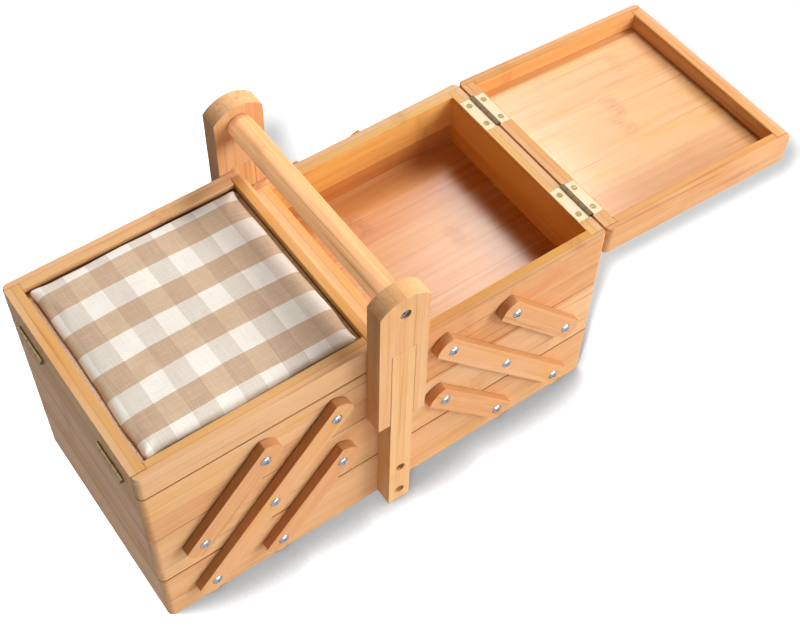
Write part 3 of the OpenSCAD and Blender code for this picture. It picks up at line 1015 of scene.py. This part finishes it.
@dataclass
class Pad:
    """A padded gingham cushion in a lid's recess."""

    side: Side
    half_x: float = 0.0887
    half_y: float = 0.0871
    middle: float = 0.1060
    low: float = SIZES.panel_top + 0.0002
    high: float = 0.0062
    roll: float = 0.0062
    crown: float = 0.0022
    net: float = 0.003
    corner: float = 0.0018
    glued: float = 0.0008
    shoulder: tuple[float, float] = (0.42, 0.58)
    pull_x: tuple[float, float] = (0.0006, 0.0011)
    pull_y: tuple[float, float] = (0.0004, 0.0007)
    ripple: float = 0.00035
    swell: float = 0.0012
    pressure: float = 4.0
    frames: int = 20

    @property
    def centre(self) -> float:
        """The x of the pad's middle."""
        return self.side.value * self.middle

    def build(self) -> None:
        """Builds the cushion in its closed lid, then turns it with the lid."""
        word = self.side.word
        pad = self.block(f"{word}_gingham_pad")
        self.shape(pad)
        self.stuff(pad)
        self.smooth(pad)
        turn = SIZES.lid_open if self.side is Side.RIGHT else 0.0
        pivot = Vector((SIZES.pin[0], 0, SIZES.pin[1]))
        pad.data.transform(Matrix.Translation(pivot) @ Matrix.Rotation(turn, 4, "Y")
                           @ Matrix.Translation(-pivot))
        dress(pad, Gingham(f"gingham_{word}", turn=-turn, mirrored=self.side is Side.RIGHT).build())
        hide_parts(f"{word}_lid_pad")
        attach(pad, f"{word}_lid")
        LOG.info("made %s", pad.name)

    def block(self, name: str) -> bpy.types.Object:
        """Makes a closed net of cloth round a flat block.

        Args:
            name: The new object's name.

        Returns:
            The net, with its place in its mesh.
        """
        clear_selection()
        bpy.ops.mesh.primitive_cube_add(
            size=1.0, location=(self.centre, 0, self.low + self.high / 2),
            scale=(2 * self.half_x, 2 * self.half_y, self.high))
        pad = bpy.context.active_object
        pad.name = name
        bpy.ops.object.transform_apply(location=True, rotation=True, scale=True)
        bevel = pad.modifiers.new("rolled edge", "BEVEL")
        bevel.width = self.corner
        bevel.segments = 3
        bpy.ops.object.modifier_apply(modifier=bevel.name)
        remesh = pad.modifiers.new("cloth net", "REMESH")
        remesh.mode = "VOXEL"
        remesh.voxel_size = self.net
        bpy.ops.object.modifier_apply(modifier=remesh.name)
        return pad

    def shape(self, pad: bpy.types.Object) -> None:
        """Rolls the edges down, lifts the middle and lets the sides run unevenly.

        Args:
            pad: The net.
        """
        for v in pad.data.vertices:
            a = max(-1.0, min(1.0, (v.co.x - self.centre) / self.half_x))
            b = max(-1.0, min(1.0, v.co.y / self.half_y))
            upper = (v.co.z - self.low) / self.high
            inset = min((1 - abs(a)) * self.half_x, (1 - abs(b)) * self.half_y) / self.roll
            rolled = math.sqrt(max(0.0, 1 - max(0.0, 1 - inset) ** 2))
            rim, rise = self.shoulder
            top = self.high * (rim + rise * rolled) + self.crown * (1 - a * a) * (1 - b * b)
            v.co.z = self.low + upper * top
            # the cloth is pulled over the edges by hand, so its sides are not quite straight
            wave_x = noise.noise(Vector((v.co.y * 26, self.side.value * 3, 0.3)))
            wave_y = noise.noise(Vector((v.co.x * 22, 7.1, self.side.value)))
            v.co.x -= a * abs(a) ** 3 * (self.pull_x[0] + self.pull_x[1] * wave_x)
            v.co.y -= b * abs(b) ** 3 * (self.pull_y[0] + self.pull_y[1] * wave_y)
            wave_z = noise.noise(Vector((v.co.x * 70, v.co.y * 70, 1.7)))
            v.co.z += upper * self.ripple * wave_z

    def stuff(self, pad: bpy.types.Object) -> None:
        """Swells the net with air under pressure, and caps how far each point moves.

        Args:
            pad: The net.
        """
        before = [v.co.copy() for v in pad.data.vertices]
        held = pad.vertex_groups.new(name="glued underside")
        under = [v.index for v in pad.data.vertices if v.co.z < self.low + self.glued]
        held.add(under, 1.0, "REPLACE")
        pick(pad)
        cloth = pad.modifiers.new("stuffing", "CLOTH")
        cloth.settings.quality = 5
        cloth.settings.mass = 0.3
        cloth.settings.use_pressure = True
        cloth.settings.uniform_pressure_force = self.pressure
        cloth.settings.effector_weights.gravity = 0.0
        cloth.settings.vertex_group_mass = held.name
        cloth.point_cache.frame_start = 1
        cloth.point_cache.frame_end = self.frames
        scene = bpy.context.scene
        for frame in range(1, self.frames + 1):
            scene.frame_set(frame)
        bpy.ops.object.modifier_apply(modifier=cloth.name)
        scene.frame_set(1)
        for v, start in zip(pad.data.vertices, before):
            moved = v.co - start
            if moved.length > self.swell:
                v.co = start + moved * (self.swell / moved.length)
        pad.vertex_groups.clear()

    def smooth(self, pad: bpy.types.Object) -> None:
        """Keeps the cushion inside its recess and smooths its net.

        Args:
            pad: The net.
        """
        for v in pad.data.vertices:
            v.co.x = max(self.centre - self.half_x, min(self.centre + self.half_x, v.co.x))
            v.co.y = max(-self.half_y, min(self.half_y, v.co.y))
            v.co.z = max(self.low, v.co.z)
        pick(pad)
        finer = pad.modifiers.new("finer", "SUBSURF")
        finer.levels = finer.render_levels = 1
        bpy.ops.object.modifier_apply(modifier=finer.name)
        bpy.ops.object.shade_smooth()


# Studio


class Lit(Enum):
    """What a lamp lights."""

    OBJECT = "all of the object"
    WOOD = "the object without its hinges"
    LEFT = "the left stack and the handle"
    BAR = "the carrying bar"
    FLOOR = "the floor"


@dataclass(frozen=True)
class Lamp:
    """One rectangular softbox."""

    name: str
    place: tuple[float, float, float]
    aim: tuple[float, float, float]
    size: tuple[float, float]
    power: float
    lit: Lit = Lit.OBJECT


@dataclass
class Studio:
    """The floor, the light and the camera.

    focal, width, height and centre are in the photograph's pixels, sensor is in millimetres,
    and the other lengths are in metres.
    """

    focal: float = 1399.414
    width: float = 800.0
    height: float = 634.0
    sensor: float = 36.0
    centre: tuple[float, float] = (392.227, 321.008)
    eye: tuple[float, float, float] = (-0.34029, -0.56012, 1.02921)
    right: tuple[float, float, float] = (0.816159, -0.577622, 0.015409)
    down: tuple[float, float, float] = (-0.461835, -0.668120, -0.583373)
    ahead: tuple[float, float, float] = (0.347264, 0.469008, -0.812058)
    floor_size: float = 14.0
    floor_drop: float = 0.0002
    # shade_reach, shade_lean, shade_range and shade_depth size a painted soft shadow round the
    # carrier's foot
    shade_reach: float = 0.07
    shade_lean: tuple[float, float, float] = (-0.42, 0.36, 0.83)
    shade_range: tuple[float, float] = (0.12, 0.64)
    shade_depth: float = 0.5
    shadow_share: float = 0.4
    lit_floor: Colour = (0.9, 0.9, 0.9, 1)
    shaded_floor: Colour = (0.08, 0.08, 0.08, 1)
    bounce: Colour = (0.2, 0.2, 0.2, 1)
    fill: float = 0.03
    lamps: tuple[Lamp, ...] = (
        Lamp("key_softbox", (1.9, -0.85, 1.85), (0.05, 0.0, 0.15), (0.85, 0.85), 36.0),
        Lamp("back_panel", (0.745, 0.535, 1.17), (0.2, -0.02, 0.17), (0.36, 0.42), 10.0,
             Lit.WOOD),
        Lamp("left_softbox", (-0.1, 0.7, 1.4), (-0.05, 0.0, 0.26), (0.9, 0.3), 6.5, Lit.LEFT),
        Lamp("bar_strip", (-1.0, 0.1, 1.05), (0.0, 0.0, 0.26), (0.3, 0.8), 7.5, Lit.BAR),
        Lamp("front_softbox", (0.15, -1.7, 0.55), (0.0, 0.0, 0.1), (1.3, 0.6), 9.6),
        Lamp("right_softbox", (1.15, -1.25, 0.6), (0.15, 0.0, 0.15), (0.6, 0.6), 14.5),
        Lamp("floor_lamp", (-0.41, -0.50, 1.11), (0.0, 0.0, 0.0), (0.12, 0.12), 60.0, Lit.FLOOR),
    )

    def build(self) -> None:
        """Builds the whole studio."""
        self.camera()
        plane = self.floor()
        self.world()
        self.light(plane)
        bpy.context.scene.view_settings.view_transform = "Standard"
        # with the light tree on, linked lamps light their pieces differently from run to run
        bpy.context.scene.cycles.use_light_tree = False

    def camera(self) -> None:
        """Sets the camera where the photograph was taken."""
        data = bpy.data.cameras.new("photo_camera")
        data.sensor_width = self.sensor
        data.lens = self.focal / self.width * self.sensor
        data.shift_x = (self.width / 2 - self.centre[0]) / self.width
        data.shift_y = (self.centre[1] - self.height / 2) / self.width
        data.clip_start = 0.05
        data.clip_end = 50
        camera = bpy.data.objects.new("photo_camera", data)
        bpy.context.scene.collection.objects.link(camera)
        turn = Matrix((self.right, [-c for c in self.down], [-c for c in self.ahead]))
        camera.matrix_world = Matrix.Translation(self.eye) @ turn.transposed().to_4x4()
        bpy.context.scene.camera = camera
        LOG.info("camera at %s", self.eye)

    def floor(self) -> bpy.types.Object:
        """Lays a white floor that keeps the carrier's shadow from the floor lamp and has a painted
        soft shadow round its foot.

        Returns:
            The floor.
        """
        clear_selection()
        bpy.ops.mesh.primitive_plane_add(
            size=self.floor_size, location=(0, 0, -self.floor_drop))
        plane = bpy.context.active_object
        plane.name = "studio_floor"
        g = Graph.finish("studio_floor")
        seen = g.ray("Camera")
        # painted shadow: ambient occlusion leaning back and left darkens the floor's colour and
        # glow in front of and right of the carrier, a soft drop shadow that no lamp casts
        near = g.node("ShaderNodeAmbientOcclusion", {"samples": 16},
                      {"Distance": self.shade_reach, "Normal": g.vector(*self.shade_lean)})
        covered = (1 - Value(g, near.outputs["AO"])).step(*self.shade_range)
        glow = 1 - covered * self.shade_depth
        white = g.mix(covered, self.lit_floor, self.shaded_floor)
        plain = g.node("ShaderNodeBsdfDiffuse", None, {"Color": g.mix(seen, self.bounce, white)})
        bright = g.node("ShaderNodeEmission", None, {"Color": (1, 1, 1, 1), "Strength": glow})
        white_share = g.shown() - seen * self.shadow_share
        g.close(g.node("ShaderNodeMixShader", None,
                       {0: white_share, 1: plain.outputs[0], 2: bright.outputs[0]}))
        g.owner.cycles.emission_sampling = "NONE"
        dress(plane, g.owner)
        LOG.info("laid the floor")
        return plane

    def world(self) -> None:
        """Fills the surroundings with even soft light, and shows them white."""
        world = bpy.data.worlds.new("studio")
        bpy.context.scene.world = world
        g = Graph(world, "ShaderNodeOutputWorld")
        soft = g.node("ShaderNodeBackground", None, {"Color": (1, 1, 1, 1), "Strength": self.fill})
        white = g.node("ShaderNodeBackground", None, {"Color": (1, 1, 1, 1), "Strength": 1.0})
        g.close(g.node("ShaderNodeMixShader", None,
                       {0: g.shown(), 1: soft.outputs[0], 2: white.outputs[0]}))

    def light(self, plane: bpy.types.Object) -> None:
        """Hangs the lamps, each of which lights the floor or what stands on it.

        Args:
            plane: The floor.
        """
        solids = [o for o in bpy.data.objects if o.type == "MESH"]
        left = [o for o in solids
                if o.name.startswith("left_") or "fork" in o.name or "handle" in o.name]
        hinges = [o for o in solids if "hinge" in o.name]
        bar = [o for o in solids if o.name == "handle_bar"]
        groups = {}
        for lit, members, state in (
                (Lit.FLOOR, [plane], "INCLUDE"), (Lit.OBJECT, [plane], "EXCLUDE"),
                (Lit.WOOD, [plane, *hinges], "EXCLUDE"), (Lit.LEFT, left, "INCLUDE"),
                (Lit.BAR, bar, "INCLUDE")):
            group = bpy.data.collections.new(f"lit_{lit.name.lower()}")
            for member in members:
                group.objects.link(member)
            for linked in group.collection_objects:
                linked.light_linking.link_state = state
            groups[lit] = group
        for lamp in self.lamps:
            data = bpy.data.lights.new(lamp.name, "AREA")
            data.shape = "RECTANGLE"
            data.size, data.size_y = lamp.size
            data.energy = lamp.power
            o = bpy.data.objects.new(lamp.name, data)
            bpy.context.scene.collection.objects.link(o)
            o.location = lamp.place
            aim = Vector(lamp.aim) - Vector(lamp.place)
            o.rotation_euler = aim.to_track_quat("-Z", "Y").to_euler()
            o.light_linking.receiver_collection = groups[lamp.lit]
            LOG.info("hung %s", lamp.name)


def main() -> None:
    """Builds the scene, one sub-assembly after another."""
    logging.basicConfig(level=logging.INFO, format="%(message)s")
    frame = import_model()
    dresser = Dresser(frame["nodes"])
    BaseBox(dresser).dress()
    Handle(dresser).dress()
    for side in Side:
        Stack(dresser, side).dress()
        Lid(dresser, side).dress()
        Pad(side).build()
    Hardware(dresser).dress()
    Studio().build()


if __name__ == "__main__":
    main()
